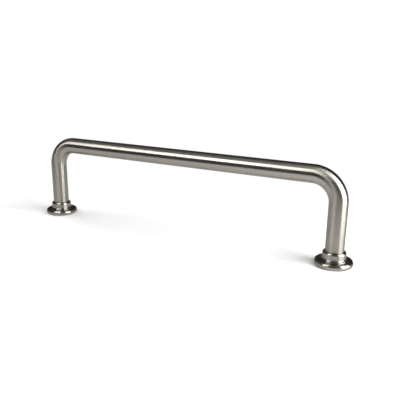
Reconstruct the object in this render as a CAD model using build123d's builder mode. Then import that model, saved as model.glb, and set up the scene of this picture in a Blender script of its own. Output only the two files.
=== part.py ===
"""Bridge pull handle: a bent round bar that stands on two turned collars.

The handle is fixed from behind by one M4 screw in each leg. The plane Z = 0 is the face of the door or
drawer front, X runs along the bar, and the origin is midway between the two legs.
"""

import math
import os

from build123d import *

# Driving dimensions, in millimetres and degrees

# The bent bar
hole_spacing = 160.0        # between the axes of the two legs, on the 32 mm cabinet grid
overall_height = 44.5       # from the mounting face to the top of the bar
bar_diameter = 8.5
bend_radius = 12.0          # of the bar's centre line

# The turned-down end of each leg, which passes through the collar
spigot_diameter = 6.5
spigot_setback = 0.3        # the spigot stops short of the mounting face, so the screw clamps the collar
spigot_chamfer = 0.3

# The tapped hole in each leg
tap_drill_diameter = 3.3    # for an M4 thread
tapped_depth = 11.0         # the full-width part of the hole, from the end of the spigot
drill_point_angle = 118.0
mouth_diameter = 4.3        # of the countersink that leads the screw in
mouth_angle = 90.0

# The collar's flange, with a rounded rim
flange_diameter = 17.3
flange_thickness = 2.7
rim_height = 1.25           # where the rim is widest
rim_undercut = 0.6          # how far the rim is bevelled in to the mounting face
rim_shoulder = 1.15         # how far the rim rounds in to the flange's top
groove_depth = 0.15         # how far the flange's top falls from the rim to the ring

# The collar's neck, with a small ring at its foot and a rounded lip at its top
collar_height = 6.6
neck_wall = 1.1             # outside the bar
ring_width = 0.75           # how far the ring stands out from the neck
ring_height = 0.35          # above the flange
neck_foot = 0.45            # of the bevel between the ring and the neck
lip_drop = 1.2              # how far down the lip's rounding reaches
lip_land = 0.1              # the narrow flat left between the rounding and the bar

# How the bar seats in the collar
socket_depth = 1.5          # how far the full-width bar goes into the lip
socket_clearance = 0.04     # radial, round the bar
spigot_clearance = 0.1      # radial, round the spigot

# Worked out from the driving dimensions
leg_offset = hole_spacing / 2
centre_line_height = overall_height - bar_diameter / 2
seat_height = collar_height - socket_depth
spigot_length = seat_height - spigot_setback
drill_point_height = tap_drill_diameter / 2 / math.tan(math.radians(drill_point_angle / 2))

os.makedirs("parts", exist_ok=True)


# The grip bar: one round bar, bent at both ends, turned down and tapped at its feet
with BuildPart() as grip_bar:
    with BuildLine(Plane.XZ) as centre_line:
        FilletPolyline(
            (-leg_offset, seat_height),
            (-leg_offset, centre_line_height),
            (leg_offset, centre_line_height),
            (leg_offset, seat_height),
            radius=bend_radius,
        )
    with BuildSketch(Plane(origin=centre_line.line @ 0, z_dir=centre_line.line % 0)):
        Circle(bar_diameter / 2)
    sweep(path=centre_line.line)

    with BuildSketch(Plane.XY.offset(seat_height)):
        with GridLocations(hole_spacing, 0, 2, 1):
            Circle(spigot_diameter / 2)
    extrude(amount=-spigot_length)
    spigot_ends = grip_bar.faces().filter_by(Axis.Z).group_by(Axis.Z)[0]
    chamfer(spigot_ends.edges(), spigot_chamfer)

    with Locations(Plane(origin=(0, 0, spigot_setback), z_dir=(0, 0, -1))):
        with GridLocations(hole_spacing, 0, 2, 1):
            CounterSinkHole(tap_drill_diameter / 2, mouth_diameter / 2, tapped_depth, mouth_angle)
    with Locations((0, 0, spigot_setback + tapped_depth)):
        with GridLocations(hole_spacing, 0, 2, 1):
            Cone(
                tap_drill_diameter / 2,
                0,
                drill_point_height,
                align=(Align.CENTER, Align.CENTER, Align.MIN),
                mode=Mode.SUBTRACT,
            )

grip_bar.part.label = "grip_bar"
export_step(grip_bar.part, "parts/grip_bar.step")


# The collars: each is turned from round stock, bored for the spigot and counterbored for the bar
socket_radius = bar_diameter / 2 + socket_clearance
bore_radius = spigot_diameter / 2 + spigot_clearance
neck_radius = bar_diameter / 2 + neck_wall
ring_radius = neck_radius + ring_width
ring_top = flange_thickness + ring_height
flange_radius = flange_diameter / 2

for side, leg_x in (("left", -leg_offset), ("right", leg_offset)):
    with BuildPart() as collar:
        with BuildSketch(Plane(origin=(leg_x, 0, 0), x_dir=(1, 0, 0), z_dir=(0, -1, 0))):
            with BuildLine():
                Polyline(
                    (bore_radius, 0),
                    (flange_radius - rim_undercut, 0),
                    (flange_radius, rim_height),
                )
                TangentArc(
                    (flange_radius, rim_height),
                    (flange_radius - rim_shoulder, flange_thickness),
                    tangent=(0, 1),
                )
                Polyline(
                    (flange_radius - rim_shoulder, flange_thickness),
                    (ring_radius, flange_thickness - groove_depth),
                    (ring_radius, ring_top),
                    (neck_radius + neck_foot, ring_top),
                    (neck_radius, ring_top + neck_foot),
                    (neck_radius, collar_height - lip_drop),
                )
                TangentArc(
                    (neck_radius, collar_height - lip_drop),
                    (socket_radius + lip_land, collar_height),
                    tangent=(0, 1),
                )
                Polyline(
                    (socket_radius + lip_land, collar_height),
                    (socket_radius, collar_height),
                    (socket_radius, seat_height),
                    (bore_radius, seat_height),
                    (bore_radius, 0),
                )
            make_face()
        revolve(axis=Axis((leg_x, 0, 0), (0, 0, 1)))
    collar.part.label = f"collar_{side}"
    export_step(collar.part, f"parts/collar_{side}.step")
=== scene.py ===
# %% [markdown]
# # A bridge pull handle, dressed for a studio picture
#
# The handle is a round bar bent down at both ends. Each leg stands in a small turned collar, and a
# screw from behind the door holds the leg, the collar and the door together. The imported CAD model
# gives the sizes and places. This lesson builds finer meshes over it, brushes and turns the metal
# with nodes, and lights it on a white table.
#
# The first cell loads the frame. Everything after it is in metres, in the frame's own axes: X runs
# along the bar, Z points out of the door, and the door's face is the plane Z = 0.

import math

import bmesh
import bpy
import numpy as np
from mathutils import Matrix, Vector


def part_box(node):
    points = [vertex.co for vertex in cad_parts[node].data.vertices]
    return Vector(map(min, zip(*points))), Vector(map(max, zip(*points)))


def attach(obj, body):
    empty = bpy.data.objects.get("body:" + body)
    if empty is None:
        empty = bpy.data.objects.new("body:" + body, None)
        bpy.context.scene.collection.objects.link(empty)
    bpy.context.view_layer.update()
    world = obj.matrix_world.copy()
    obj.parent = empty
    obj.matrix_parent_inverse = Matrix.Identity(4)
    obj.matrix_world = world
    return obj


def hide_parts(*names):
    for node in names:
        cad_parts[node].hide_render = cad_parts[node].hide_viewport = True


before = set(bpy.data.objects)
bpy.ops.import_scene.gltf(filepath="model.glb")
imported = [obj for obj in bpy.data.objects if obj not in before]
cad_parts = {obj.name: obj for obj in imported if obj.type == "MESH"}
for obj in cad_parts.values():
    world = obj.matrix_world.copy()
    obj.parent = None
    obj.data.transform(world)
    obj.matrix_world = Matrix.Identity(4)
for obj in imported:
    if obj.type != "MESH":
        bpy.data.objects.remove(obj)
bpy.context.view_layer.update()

# %% [markdown]
# ## Sizes from the frame
#
# A maker's drawing of this handle needs few numbers. The bar's diameter, the spacing of the legs and
# the height are read from the boxes of the CAD nodes, so the dressed model can't drift from the
# solid. Only the sizes that a box can't show, such as the bend's radius, are written here.

# %% Read and name the sizes
MM = 0.001

bar_low, bar_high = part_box("grip_bar")
collar_low, collar_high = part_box("collar_right")

bar_radius = (bar_high[1] - bar_low[1]) / 2
leg_x = bar_high[0] - bar_radius
bar_height = bar_high[2] - bar_radius
spigot_end = bar_low[2]
collar_top = collar_high[2]
flange_radius = (collar_high[0] - collar_low[0]) / 2

bend_radius = 12 * MM
spigot_radius = 3.25 * MM
socket_depth = 1.5 * MM
socket_clearance = 0.04 * MM
spigot_clearance = 0.1 * MM
seat_height = collar_top - socket_depth

print(f"bar {2 * bar_radius / MM:.2f} mm across, {bar_high[2] / MM:.1f} mm high")
print(f"legs {2 * leg_x / MM:.1f} mm apart")

# %% [markdown]
# ## A skin of rings
#
# Both kinds of piece are round: the bar is a circle swept along a bent line, and a collar is an
# outline turned about an upright axis. One helper covers both. It joins rings of points into a
# closed mesh. Blender could also do this with a bevelled curve and the Screw modifier, but rings of
# our own let the screw thread, the end of each leg and the grip share one watertight mesh.
#
# The helper also stores where each point would lie if the bar were straight. The grain is painted in
# that space, so the brushing follows the bends and has no seam.

# %% Helper: join rings into a closed mesh
AROUND = 96
turn = np.linspace(0, 2 * math.pi, AROUND, endpoint=False)


def ring(centre, side, cross, radius, run):
    """One ring of points. radius is a number or one value for each point.

    run is the ring's place along the work.
    """
    radii = np.broadcast_to(radius, (AROUND,))
    flat = np.outer(radii * np.cos(turn), side) + np.outer(radii * np.sin(turn), cross)
    straight = np.column_stack([np.full(AROUND, run), radii * np.cos(turn), radii * np.sin(turn)])
    return np.array(centre) + flat, straight, run


def skin(name, rings, loop=False, sharp_deg=35):
    """A closed mesh over the rings.

    A loop joins its last ring to its first. Otherwise each end is closed by one face.
    """
    places = np.concatenate([points for points, straight, run in rings])
    straights = np.concatenate([straight for points, straight, run in rings])
    runs = [run for points, straight, run in rings]
    count = len(rings)
    faces, corners_uv = [], []
    for row in range(count if loop else count - 1):
        after = (row + 1) % count
        for column in range(AROUND):
            beside = (column + 1) % AROUND
            faces.append(
                (
                    row * AROUND + column,
                    row * AROUND + beside,
                    after * AROUND + beside,
                    after * AROUND + column,
                )
            )
            v_low, v_high = column / AROUND, (column + 1) / AROUND
            corners_uv += [(runs[row], v_low), (runs[row], v_high)]
            corners_uv += [(runs[after], v_high), (runs[after], v_low)]
    if not loop:
        faces.append(tuple(range(AROUND)))
        faces.append(tuple(range((count - 1) * AROUND, count * AROUND)))
        corners_uv += [(runs[0], column / AROUND) for column in range(AROUND)]
        corners_uv += [(runs[-1], column / AROUND) for column in range(AROUND)]
    mesh = bpy.data.meshes.new(name)
    mesh.from_pydata(places.tolist(), [], faces)
    layer = mesh.uv_layers.new(name="work")
    layer.data.foreach_set("uv", np.array(corners_uv, dtype=float).ravel())
    grain = mesh.attributes.new("straightened", "FLOAT_VECTOR", "POINT")
    grain.data.foreach_set("vector", straights.ravel())
    mesh.shade_smooth()
    mesh.set_sharp_from_angle(angle=math.radians(sharp_deg))
    piece = bpy.data.objects.new(name, mesh)
    bpy.context.scene.collection.objects.link(piece)
    print(f"{name}: {len(mesh.vertices)} points, {len(mesh.polygons)} faces")
    return piece


# %% Helper: round the corners of an outline
SAME_POINT = 0.001 * MM


def rounded(corners, steps=8):
    """Points along an outline of corners (radius, height, before, after).

    before and after say how far from the corner its rounding starts and ends. A corner with 0, 0
    stays sharp.
    """
    outline = []
    for index, (radius, height, before, after) in enumerate(corners):
        corner = Vector((radius, height))
        if before == 0 and after == 0:
            outline.append(corner)
            continue
        previous = Vector(corners[index - 1][:2])
        following = Vector(corners[(index + 1) % len(corners)][:2])
        back = (previous - corner).normalized() * before
        forth = (following - corner).normalized() * after
        for step in range(steps + 1):
            angle = math.pi / 2 * step / steps
            point = corner + back * (1 - math.sin(angle)) + forth * (1 - math.cos(angle))
            if not outline or (point - outline[-1]).length > SAME_POINT:
                outline.append(point)
    return outline


# %% [markdown]
# ## The grip bar
#
# The real bar is drawn steel rod. It is cut to length, its ends are turned down and tapped, and it is
# bent in a tube bender, so its section stays round through the bends. We follow its centre line:
# up the left leg, round a bend, along the grip, round the second bend and down the right leg. The
# line is made of straights and arcs, so a place along it is a formula and not a list of points.

# %% The bar's centre line
leg_run = bar_height - bend_radius - seat_height
bend_run = bend_radius * math.pi / 2
grip_run = 2 * (leg_x - bend_radius)
whole_run = 2 * leg_run + 2 * bend_run + grip_run
ACROSS = np.array((0.0, 1.0, 0.0))


def left_half(run):
    """Centre and direction of the centre line at a run from the left leg's seat, to mid grip."""
    if run <= leg_run:
        return np.array((-leg_x, 0, seat_height + run)), np.array((0.0, 0.0, 1.0))
    if run < leg_run + bend_run:
        angle = (run - leg_run) / bend_radius
        x = -leg_x + bend_radius * (1 - math.cos(angle))
        z = bar_height - bend_radius * (1 - math.sin(angle))
        return np.array((x, 0, z)), np.array((math.sin(angle), 0.0, math.cos(angle)))
    along_grip = -leg_x + bend_radius + run - leg_run - bend_run
    return np.array((along_grip, 0, bar_height)), np.array((1.0, 0.0, 0.0))


def bar_ring(run, radius):
    """A ring of the bar. The right half mirrors the left one."""
    mirrored = run > whole_run / 2
    centre, direction = left_half(whole_run - run if mirrored else run)
    if mirrored:
        centre, direction = centre * (-1, 1, 1), direction * (1, 1, -1)
    return ring(centre, np.cross(ACROSS, direction), ACROSS, radius, run)


print(f"centre line {whole_run / MM:.1f} mm long")

# %% [markdown]
# ## The end of a leg
#
# Under each leg the bar is turned down to a spigot that passes through the collar, and an M4 thread
# is cut into it. Nobody sees it on a door, but it is what holds the handle, and it shows when the
# handle is turned over. The thread is a helix: the wall's radius rises and falls with the height and
# with the angle. It fades out over one pitch at both ends, as a tap leaves it.

# %% The turned and tapped end
tap_drill_radius = 1.65 * MM
thread_radius = 2.0 * MM
thread_pitch = 0.7 * MM
tapped_depth = 11 * MM
mouth_radius = 2.15 * MM
spigot_chamfer = 0.3 * MM
drill_point_half_angle = math.radians(59)
drill_point_depth = tap_drill_radius / math.tan(drill_point_half_angle)
drill_tip_radius = 0.02 * MM
shoulder_rounding = 0.1 * MM
bar_end_rounding = 0.15 * MM
ROWS_IN_A_PITCH = 8


def thread_wall(depth, hand):
    """The tapped hole's radius round one ring, at a depth into the hole.

    The mirrored end takes hand -1, so that both ends come out right-handed.
    """
    phase = (depth / thread_pitch - hand * turn / (2 * math.pi)) % 1
    from_root = np.abs(phase - 0.5) * 2
    groove = np.clip((0.75 - from_root) / 0.625, 0, 1)
    start = (mouth_radius - tap_drill_radius) + 0.3 * thread_pitch
    fade_in = max(0, (depth - start) / thread_pitch)
    fade_out = max(0, (tapped_depth - depth) / thread_pitch)
    fade = min(1, fade_in, fade_out)
    return tap_drill_radius + (thread_radius - tap_drill_radius) * groove * fade


def leg_end(hand):
    """(run, radius) from the bottom of the drilled hole to the bar's shoulder.

    A run below 0 is under the seat.
    """
    end_run = spigot_end - seat_height
    wall_start = mouth_radius - tap_drill_radius
    rows = [(end_run + tapped_depth + drill_point_depth, drill_tip_radius)]
    wall_rows = round((tapped_depth - wall_start) / thread_pitch * ROWS_IN_A_PITCH)
    for depth in np.linspace(tapped_depth, wall_start, wall_rows):
        rows.append((end_run + depth, thread_wall(depth, hand)))
    turned = [
        (mouth_radius, end_run, 0, 0),
        (spigot_radius, end_run, spigot_chamfer, spigot_chamfer),
        (spigot_radius, 0, shoulder_rounding, shoulder_rounding),
        (bar_radius, 0, bar_end_rounding, bar_end_rounding),
        (bar_radius, leg_run, 0, 0),
    ]
    rows += [(point.y, point.x) for point in rounded(turned, steps=4)]
    return rows


print(f"leg end: {len(leg_end(1))} rings, {tapped_depth / thread_pitch:.0f} pitches of thread")

# %% Sweep the bar
BEND_STEPS = 28
GRIP_STEPS = 12
bend_rows = [leg_run + bend_run * step / BEND_STEPS for step in range(1, BEND_STEPS)]
grip_rows = [leg_run + bend_run + grip_run / 2 * step / GRIP_STEPS for step in range(GRIP_STEPS + 1)]

swept = [(run, bar_radius) for run in bend_rows + grip_rows]
rings = [bar_ring(run, radius) for run, radius in leg_end(1) + swept]
rings += [bar_ring(whole_run - run, radius) for run, radius in reversed(leg_end(-1) + swept[:-1])]
bar = skin("bar", rings)
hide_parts("grip_bar")
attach(bar, "root")

# %% [markdown]
# ## The collars
#
# A collar is turned from round stock in one chucking: a flange with a full round rim, a shallow hollow
# in the flange's top, a small ring, and a neck with a rounded lip. The bar drops into a socket in the
# lip, and the spigot goes on through the bore. We draw half of its section as corners, say how far
# each corner is rounded, and turn the outline about the leg's axis. The outline runs round the whole
# section, so its last ring joins its first.

# %% The collar's outline
flange_thickness = 2.7 * MM
groove_depth = 0.15 * MM
ring_width = 0.75 * MM
ring_height = 0.35 * MM
neck_wall = 1.1 * MM
neck_radius = bar_radius + neck_wall
ring_radius = neck_radius + ring_width
ring_top = flange_thickness + ring_height
socket_radius = bar_radius + socket_clearance
bore_radius = spigot_radius + spigot_clearance
rim_height = 1.25 * MM
rim_shoulder = 1.25 * MM
rim_undercut = 0.75 * MM
lip_drop = 1.2 * MM
lip_in = 0.9 * MM
ring_break = 0.12 * MM

# Each corner: radius, height, and how far before and after it the rounding reaches
collar_corners = [
    (bore_radius, 0, 0.1 * MM, 0.1 * MM),
    (flange_radius, 0, rim_undercut, rim_height),
    (flange_radius, flange_thickness, flange_thickness - rim_height, rim_shoulder),
    (ring_radius, flange_thickness - groove_depth, 0.3 * MM, 0.1 * MM),
    (ring_radius, ring_top, ring_break, ring_break),
    (neck_radius, ring_top, 0.5 * MM, 0.6 * MM),
    (neck_radius, collar_top, lip_drop, lip_in),
    (socket_radius, collar_top, 0.08 * MM, 0.16 * MM),
    (socket_radius, seat_height, 0, 0),
    (bore_radius, seat_height, 0, 0),
]
outline = rounded(collar_corners)
print(f"collar outline: {len(outline)} points")

# %% Turn both collars
for side_name, side_x in (("left", -leg_x), ("right", leg_x)):
    rings = []
    run = 0.0
    for index, point in enumerate(outline):
        if index:
            run += (point - outline[index - 1]).length
        rings.append(ring((side_x, 0, point.y), (1, 0, 0), (0, 1, 0), point.x, run))
    collar = skin(f"collar_{side_name}_turned", rings, loop=True)
    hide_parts(f"collar_{side_name}")
    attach(collar, "root")

# %% [markdown]
# ## A node group for worked metal
#
# Both finishes are fine parallel scratches that run round the work: a belt left them on the bar, and
# the lathe tool on the collar. One group makes both. It stretches noise in the straightened space,
# and each material says how far it stretches each way. It puts out a fine scratch, a broader streak
# and a slow cloud, because real brushing is never even.

# %% Node group: worked metal
def link(tree, source, target):
    tree.links.new(source, target)


def noise(tree, vector, scale, detail, roughness=0.6):
    """A noise node's value from a vector."""
    node = tree.nodes.new("ShaderNodeTexNoise")
    node.inputs["Scale"].default_value = scale
    node.inputs["Detail"].default_value = detail
    node.inputs["Roughness"].default_value = roughness
    link(tree, vector, node.inputs["Vector"])
    return node.outputs["Fac"]


def make_worked_metal():
    tree = bpy.data.node_groups.new("worked_metal", "ShaderNodeTree")
    face = tree.interface
    face.new_socket("Place", in_out="INPUT", socket_type="NodeSocketVector")
    face.new_socket("Fine stretch", in_out="INPUT", socket_type="NodeSocketVector")
    face.new_socket("Broad stretch", in_out="INPUT", socket_type="NodeSocketVector")
    face.new_socket("Cloud scale", in_out="INPUT", socket_type="NodeSocketFloat")
    for name in ("Scratch", "Streak", "Cloud"):
        face.new_socket(name, in_out="OUTPUT", socket_type="NodeSocketFloat")
    given = tree.nodes.new("NodeGroupInput")
    result = tree.nodes.new("NodeGroupOutput")
    for stretch, detail, output in (("Fine stretch", 3, "Scratch"), ("Broad stretch", 2, "Streak")):
        scaled = tree.nodes.new("ShaderNodeVectorMath")
        scaled.operation = "MULTIPLY"
        link(tree, given.outputs["Place"], scaled.inputs[0])
        link(tree, given.outputs[stretch], scaled.inputs[1])
        link(tree, noise(tree, scaled.outputs["Vector"], 1.0, detail), result.inputs[output])
    cloud = tree.nodes.new("ShaderNodeTexNoise")
    cloud.inputs["Detail"].default_value = 2
    link(tree, given.outputs["Place"], cloud.inputs["Vector"])
    link(tree, given.outputs["Cloud scale"], cloud.inputs["Scale"])
    link(tree, cloud.outputs["Fac"], result.inputs["Cloud"])
    return tree


worked_metal = make_worked_metal()
print("group:", worked_metal.name, [item.name for item in worked_metal.interface.items_tree])

# %% [markdown]
# ## The finishes
#
# The handle is a warm grey satin metal, like brushed stainless steel or nickel. It is all reflection,
# so its colour is the tint of what it mirrors, and its character comes from the roughness. The belt
# that brushes a round bar runs across it, so the scratches go round the bar. They scatter light along
# the bar and hardly round it: lamps draw crisp lines along the grip, and long streaks down the legs.
# The Anisotropic setting does this, with the tangent along the work. The collars were cut in a lathe,
# so their marks go round too.

# %% Helper: a worked metal material
NOISE_LOW = 0.3
NOISE_HIGH = 0.7


def map_range(tree, value, low, high):
    """Stretches noise, which keeps near 0.5, to a range."""
    node = tree.nodes.new("ShaderNodeMapRange")
    node.inputs["From Min"].default_value = NOISE_LOW
    node.inputs["From Max"].default_value = NOISE_HIGH
    node.inputs["To Min"].default_value = low
    node.inputs["To Max"].default_value = high
    link(tree, value, node.inputs["Value"])
    return node.outputs["Result"]


# Rough metal stays darker at its edges than a mirror does
EDGE_TINT = (0.55, 0.53, 0.49, 1)


def metal(name, tint_dark, tint_light, roughness, anisotropy, fine, broad, cloud_scale, depth):
    """A metal whose scratches run round the work.

    roughness gives its lowest and highest value, and how far it drifts.
    """
    material = bpy.data.materials.new(name)
    material.use_nodes = True
    tree = material.node_tree
    shader = tree.nodes["Principled BSDF"]
    shader.inputs["Metallic"].default_value = 1.0
    shader.inputs["Anisotropic"].default_value = anisotropy
    shader.inputs["Specular Tint"].default_value = EDGE_TINT

    place = tree.nodes.new("ShaderNodeAttribute")
    place.attribute_name = "straightened"
    grain = tree.nodes.new("ShaderNodeGroup")
    grain.node_tree = worked_metal
    grain.inputs["Fine stretch"].default_value = fine
    grain.inputs["Broad stretch"].default_value = broad
    grain.inputs["Cloud scale"].default_value = cloud_scale
    link(tree, place.outputs["Vector"], grain.inputs["Place"])

    tint = tree.nodes.new("ShaderNodeMix")
    tint.data_type = "RGBA"
    tint.inputs[6].default_value = (*tint_dark, 1)
    tint.inputs[7].default_value = (*tint_light, 1)
    link(tree, map_range(tree, grain.outputs["Streak"], 0, 1), tint.inputs["Factor"])
    link(tree, tint.outputs[2], shader.inputs["Base Color"])

    rough_fine = map_range(tree, grain.outputs["Scratch"], roughness[0], roughness[1])
    rough_slow = map_range(tree, grain.outputs["Cloud"], -roughness[2], roughness[2])
    added = tree.nodes.new("ShaderNodeMath")
    added.operation = "ADD"
    link(tree, rough_fine, added.inputs[0])
    link(tree, rough_slow, added.inputs[1])
    link(tree, added.outputs["Value"], shader.inputs["Roughness"])

    bump = tree.nodes.new("ShaderNodeBump")
    bump.inputs["Distance"].default_value = depth
    link(tree, grain.outputs["Scratch"], bump.inputs["Height"])
    link(tree, bump.outputs["Normal"], shader.inputs["Normal"])

    tangent = tree.nodes.new("ShaderNodeTangent")
    tangent.direction_type = "UV_MAP"
    tangent.uv_map = "work"
    link(tree, tangent.outputs["Tangent"], shader.inputs["Tangent"])
    return material


# %% Finish of the bar and of the collars
brushed_bar = metal(
    "brushed_bar",
    tint_dark=(0.29, 0.275, 0.245),
    tint_light=(0.33, 0.312, 0.28),
    roughness=(0.28, 0.33, 0.02),
    anisotropy=1.0,
    fine=(9000, 60, 60),
    broad=(1500, 25, 25),
    cloud_scale=90,
    depth=0.0004 * MM,
)
turned_collar = metal(
    "turned_collar",
    tint_dark=(0.27, 0.255, 0.228),
    tint_light=(0.31, 0.293, 0.262),
    roughness=(0.24, 0.28, 0.02),
    anisotropy=0.95,
    fine=(12000, 60, 60),
    broad=(3000, 40, 40),
    cloud_scale=150,
    depth=0.0003 * MM,
)
bar.data.materials.append(brushed_bar)
for side_name in ("left", "right"):
    bpy.data.objects[f"collar_{side_name}_turned"].data.materials.append(turned_collar)
print("finishes:", brushed_bar.name, turned_collar.name)

# %% [markdown]
# ## The table
#
# The handle stands on a white table that runs off into white. Near the handle the table is a plain
# diffuse surface, so it takes the soft shadow. Further out it turns into plain white wherever the
# camera or a reflection sees it, and so does the world, so no horizon shows.

# %% Floor
WHITE = (1.0, 1.0, 1.0, 1.0)
TABLE_LIT = (0.8, 0.8, 0.8, 1.0)
TABLE_HALF = 4.0
NEAR_TABLE = 0.06
FAR_TABLE = 0.14
ALONG_THE_BAR = 0.6   # the near table is longer along the bar than across it


def seen_directly(tree):
    """1 for camera, glossy and transmission rays, and 0 for the rays that light other things."""
    path = tree.nodes.new("ShaderNodeLightPath")
    total = path.outputs["Is Camera Ray"]
    for name in ("Is Glossy Ray", "Is Transmission Ray"):
        node = tree.nodes.new("ShaderNodeMath")
        node.operation = "MAXIMUM"
        link(tree, total, node.inputs[0])
        link(tree, path.outputs[name], node.inputs[1])
        total = node.outputs["Value"]
    return total


def white_table():
    """Diffuse near the handle, and plain white further out where it is seen directly."""
    material = bpy.data.materials.new("white_table")
    material.use_nodes = True
    tree = material.node_tree
    tree.nodes.clear()
    seen = seen_directly(tree)

    colour = tree.nodes.new("ShaderNodeMix")
    colour.data_type = "RGBA"
    colour.inputs[6].default_value = TABLE_LIT
    colour.inputs[7].default_value = WHITE
    link(tree, seen, colour.inputs["Factor"])
    diffuse = tree.nodes.new("ShaderNodeBsdfDiffuse")
    link(tree, colour.outputs[2], diffuse.inputs["Color"])

    place = tree.nodes.new("ShaderNodeNewGeometry")
    squeezed = tree.nodes.new("ShaderNodeVectorMath")
    squeezed.operation = "MULTIPLY"
    squeezed.inputs[1].default_value = (ALONG_THE_BAR, 1, 1)
    link(tree, place.outputs["Position"], squeezed.inputs[0])
    length = tree.nodes.new("ShaderNodeVectorMath")
    length.operation = "LENGTH"
    link(tree, squeezed.outputs["Vector"], length.inputs[0])
    far = tree.nodes.new("ShaderNodeMapRange")
    far.interpolation_type = "SMOOTHSTEP"
    far.inputs["From Min"].default_value = NEAR_TABLE
    far.inputs["From Max"].default_value = FAR_TABLE
    link(tree, length.outputs["Value"], far.inputs["Value"])
    share = tree.nodes.new("ShaderNodeMath")
    share.operation = "MULTIPLY"
    link(tree, far.outputs["Result"], share.inputs[0])
    link(tree, seen, share.inputs[1])

    glow = tree.nodes.new("ShaderNodeEmission")
    glow.inputs["Color"].default_value = WHITE
    mixed = tree.nodes.new("ShaderNodeMixShader")
    link(tree, share.outputs["Value"], mixed.inputs["Fac"])
    link(tree, diffuse.outputs["BSDF"], mixed.inputs[1])
    link(tree, glow.outputs["Emission"], mixed.inputs[2])
    output = tree.nodes.new("ShaderNodeOutputMaterial")
    link(tree, mixed.outputs["Shader"], output.inputs["Surface"])
    return material


def panel(name, centre, along, up, material):
    """A flat rectangle from its centre and two half edges."""
    centre, along, up = Vector(centre), Vector(along), Vector(up)
    mesh = bpy.data.meshes.new(name)
    corners = [centre - along - up, centre + along - up, centre + along + up, centre - along + up]
    mesh.from_pydata(corners, [], [(0, 1, 2, 3)])
    mesh.materials.append(material)
    thing = bpy.data.objects.new(name, mesh)
    bpy.context.scene.collection.objects.link(thing)
    return thing


table = panel("table", (0, 0, 0), (TABLE_HALF, 0, 0), (0, TABLE_HALF, 0), white_table())
print("table:", 2 * TABLE_HALF, "m square")

# %% [markdown]
# ## World, lamps and a glowing surround for reflections
#
# Satin metal is lit by what it mirrors. A softbox in front and above draws the bright line along the
# grip, and a second one at the right draws the line down each leg. The dark lines beside them are
# painted reflections: a dome and a front card glow dimly, only reflections see them, and they stand
# in for a dark room. The dome also has a painted glow overhead. The side lamps also lay the soft
# shadows at the inner sides of the feet.

# %% World
WORLD_LIGHT = 0.36
WORLD_SEEN = 1.0
world = bpy.data.worlds.new("studio")
bpy.context.scene.world = world
world.use_nodes = True
tree = world.node_tree
background = tree.nodes["Background"]
background.inputs["Color"].default_value = WHITE
strength = tree.nodes.new("ShaderNodeMix")
strength.inputs[2].default_value = WORLD_LIGHT
strength.inputs[3].default_value = WORLD_SEEN
link(tree, seen_directly(tree), strength.inputs["Factor"])
link(tree, strength.outputs[0], background.inputs["Strength"])
print(f"world: lights at {WORLD_LIGHT}, is seen at {WORLD_SEEN}")

# %% Helpers: panels that glow evenly, and hiding them from all but reflections
def glowing(name, brightness):
    """A material that shows one brightness, whatever the light."""
    material = bpy.data.materials.new(name)
    material.use_nodes = True
    tree = material.node_tree
    tree.nodes.clear()
    glow = tree.nodes.new("ShaderNodeEmission")
    glow.inputs["Strength"].default_value = brightness
    output = tree.nodes.new("ShaderNodeOutputMaterial")
    link(tree, glow.outputs["Emission"], output.inputs["Surface"])
    return material


def only_reflections(thing):
    """Hides a piece of the set from everything but reflections."""
    thing.visible_camera = False
    thing.visible_diffuse = False
    thing.visible_shadow = False
    return thing


# %% A glowing dome and card: painted dark reflections
DOME_RADIUS = 1.5
# The dome's glow: a painted dark surround at the sides and a painted dim glow overhead
DOME_GLOW_SIDES = 0.09
DOME_GLOW_OVERHEAD = 0.32
CARD_DIM_GLOW = 0.04
card_y = -0.135
card_half_width = 0.6
card_half_height = 0.055


def glowing_dome(radius):
    """A dome round the set that only reflections see, with a painted glow: dim at the sides, brighter
    overhead.
    """
    material = glowing("glowing_dome", 1.0)
    tree = material.node_tree
    place = tree.nodes.new("ShaderNodeNewGeometry")
    split = tree.nodes.new("ShaderNodeSeparateXYZ")
    link(tree, place.outputs["Position"], split.inputs["Vector"])
    grey = tree.nodes.new("ShaderNodeMapRange")
    grey.interpolation_type = "SMOOTHSTEP"
    grey.inputs["From Min"].default_value = 0.78 * radius
    grey.inputs["From Max"].default_value = 0.98 * radius
    grey.inputs["To Min"].default_value = DOME_GLOW_SIDES
    grey.inputs["To Max"].default_value = DOME_GLOW_OVERHEAD
    link(tree, split.outputs["Z"], grey.inputs["Value"])
    link(tree, grey.outputs["Result"], tree.nodes["Emission"].inputs["Strength"])
    mesh = bpy.data.meshes.new("glowing_dome")
    shell = bmesh.new()
    bmesh.ops.create_uvsphere(shell, u_segments=48, v_segments=24, radius=radius)
    below = [point for point in shell.verts if point.co.z < -0.01 * radius]
    bmesh.ops.delete(shell, geom=below, context="VERTS")
    shell.to_mesh(mesh)
    shell.free()
    mesh.materials.append(material)
    thing = bpy.data.objects.new("glowing_dome", mesh)
    bpy.context.scene.collection.objects.link(thing)
    return only_reflections(thing)


glowing_dome(DOME_RADIUS)
# The front card glows dimly and only reflections see it: a painted dark reflection on the camera's side
front_card = panel(
    "front_card",
    (0, card_y, card_half_height),
    (card_half_width, 0, 0),
    (0, 0, card_half_height),
    glowing("card_dim_glow", CARD_DIM_GLOW),
)
only_reflections(front_card)
print("cloth: a dome", 2 * DOME_RADIUS, "m across and", front_card.name)

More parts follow.
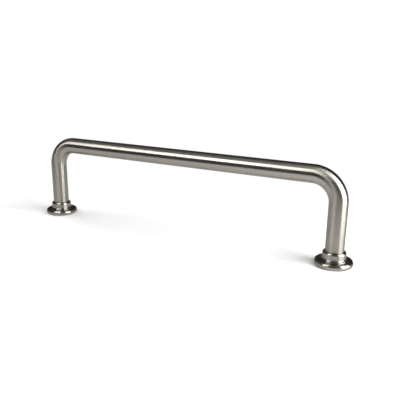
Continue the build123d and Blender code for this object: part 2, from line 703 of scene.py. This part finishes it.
# %% Lamps
def softbox(name, centre, facing, width, height, brightness, diffuse=True, glossy=True):
    """A rectangular lamp that faces along a direction. A brightness of 1 is white paper's."""
    lamp = bpy.data.lights.new(name, "AREA")
    lamp.shape = "RECTANGLE"
    lamp.size = width
    lamp.size_y = height
    lamp.energy = brightness * math.pi * width * height
    thing = bpy.data.objects.new(name, lamp)
    thing.location = centre
    thing.rotation_euler = Vector(facing).to_track_quat("-Z", "Y").to_euler()
    thing.visible_camera = False
    thing.visible_diffuse = diffuse
    thing.visible_glossy = glossy
    bpy.context.scene.collection.objects.link(thing)
    return thing


front_place = (-0.092, -0.18, 0.257)
lamp_x = 0.35
side_height = 0.42
side_width = 0.28
softbox("front_softbox", front_place, (0, 1, 0), 0.2, 0.233, 8.5, diffuse=False)
softbox("right_softbox", (lamp_x, 0, side_height / 2), (-1, 0, 0), side_width, side_height, 8.6)
softbox("left_softbox", (-lamp_x, 0, side_height / 2), (1, 0, 0), side_width, side_height, 3.2, glossy=False)
print("lamps:", [light.name for light in bpy.data.lights])

# %% [markdown]
# ## The camera
#
# The camera looks at the handle from the front right and a little above, near enough that the right
# leg is plainly larger than the left.

# %% Camera
def camera_frame(azimuth, elevation, roll):
    """The camera's right, up and back directions, from angles in degrees."""
    azimuth, elevation, roll = (math.radians(angle) for angle in (azimuth, elevation, roll))
    level = math.cos(elevation)
    back = Vector((math.sin(azimuth) * level, -math.cos(azimuth) * level, math.sin(elevation)))
    right = Vector((math.cos(azimuth), math.sin(azimuth), 0))
    up = back.cross(right)
    return (
        right * math.cos(roll) + up * math.sin(roll),
        up * math.cos(roll) - right * math.sin(roll),
        back,
    )


CAMERA_TARGET = Vector((0.01197, 0, 0.02021))
CAMERA_DISTANCE = 0.2544
CAMERA_AZIMUTH, CAMERA_ELEVATION, CAMERA_ROLL = 27.95, 15.7, 0.69
LENS, SENSOR_WIDTH = 45.98, 36
right, up, back = camera_frame(CAMERA_AZIMUTH, CAMERA_ELEVATION, CAMERA_ROLL)
camera_data = bpy.data.cameras.new("camera")
camera_data.sensor_width = SENSOR_WIDTH
camera_data.lens = LENS
camera_data.clip_start = 0.01
camera = bpy.data.objects.new("camera", camera_data)
axes = Matrix((right, up, back)).transposed().to_4x4()
camera.matrix_world = Matrix.Translation(CAMERA_TARGET + back * CAMERA_DISTANCE) @ axes
bpy.context.scene.collection.objects.link(camera)
bpy.context.scene.camera = camera
bpy.context.scene.view_settings.view_transform = "Standard"
print("camera at", [round(value, 3) for value in camera.location])
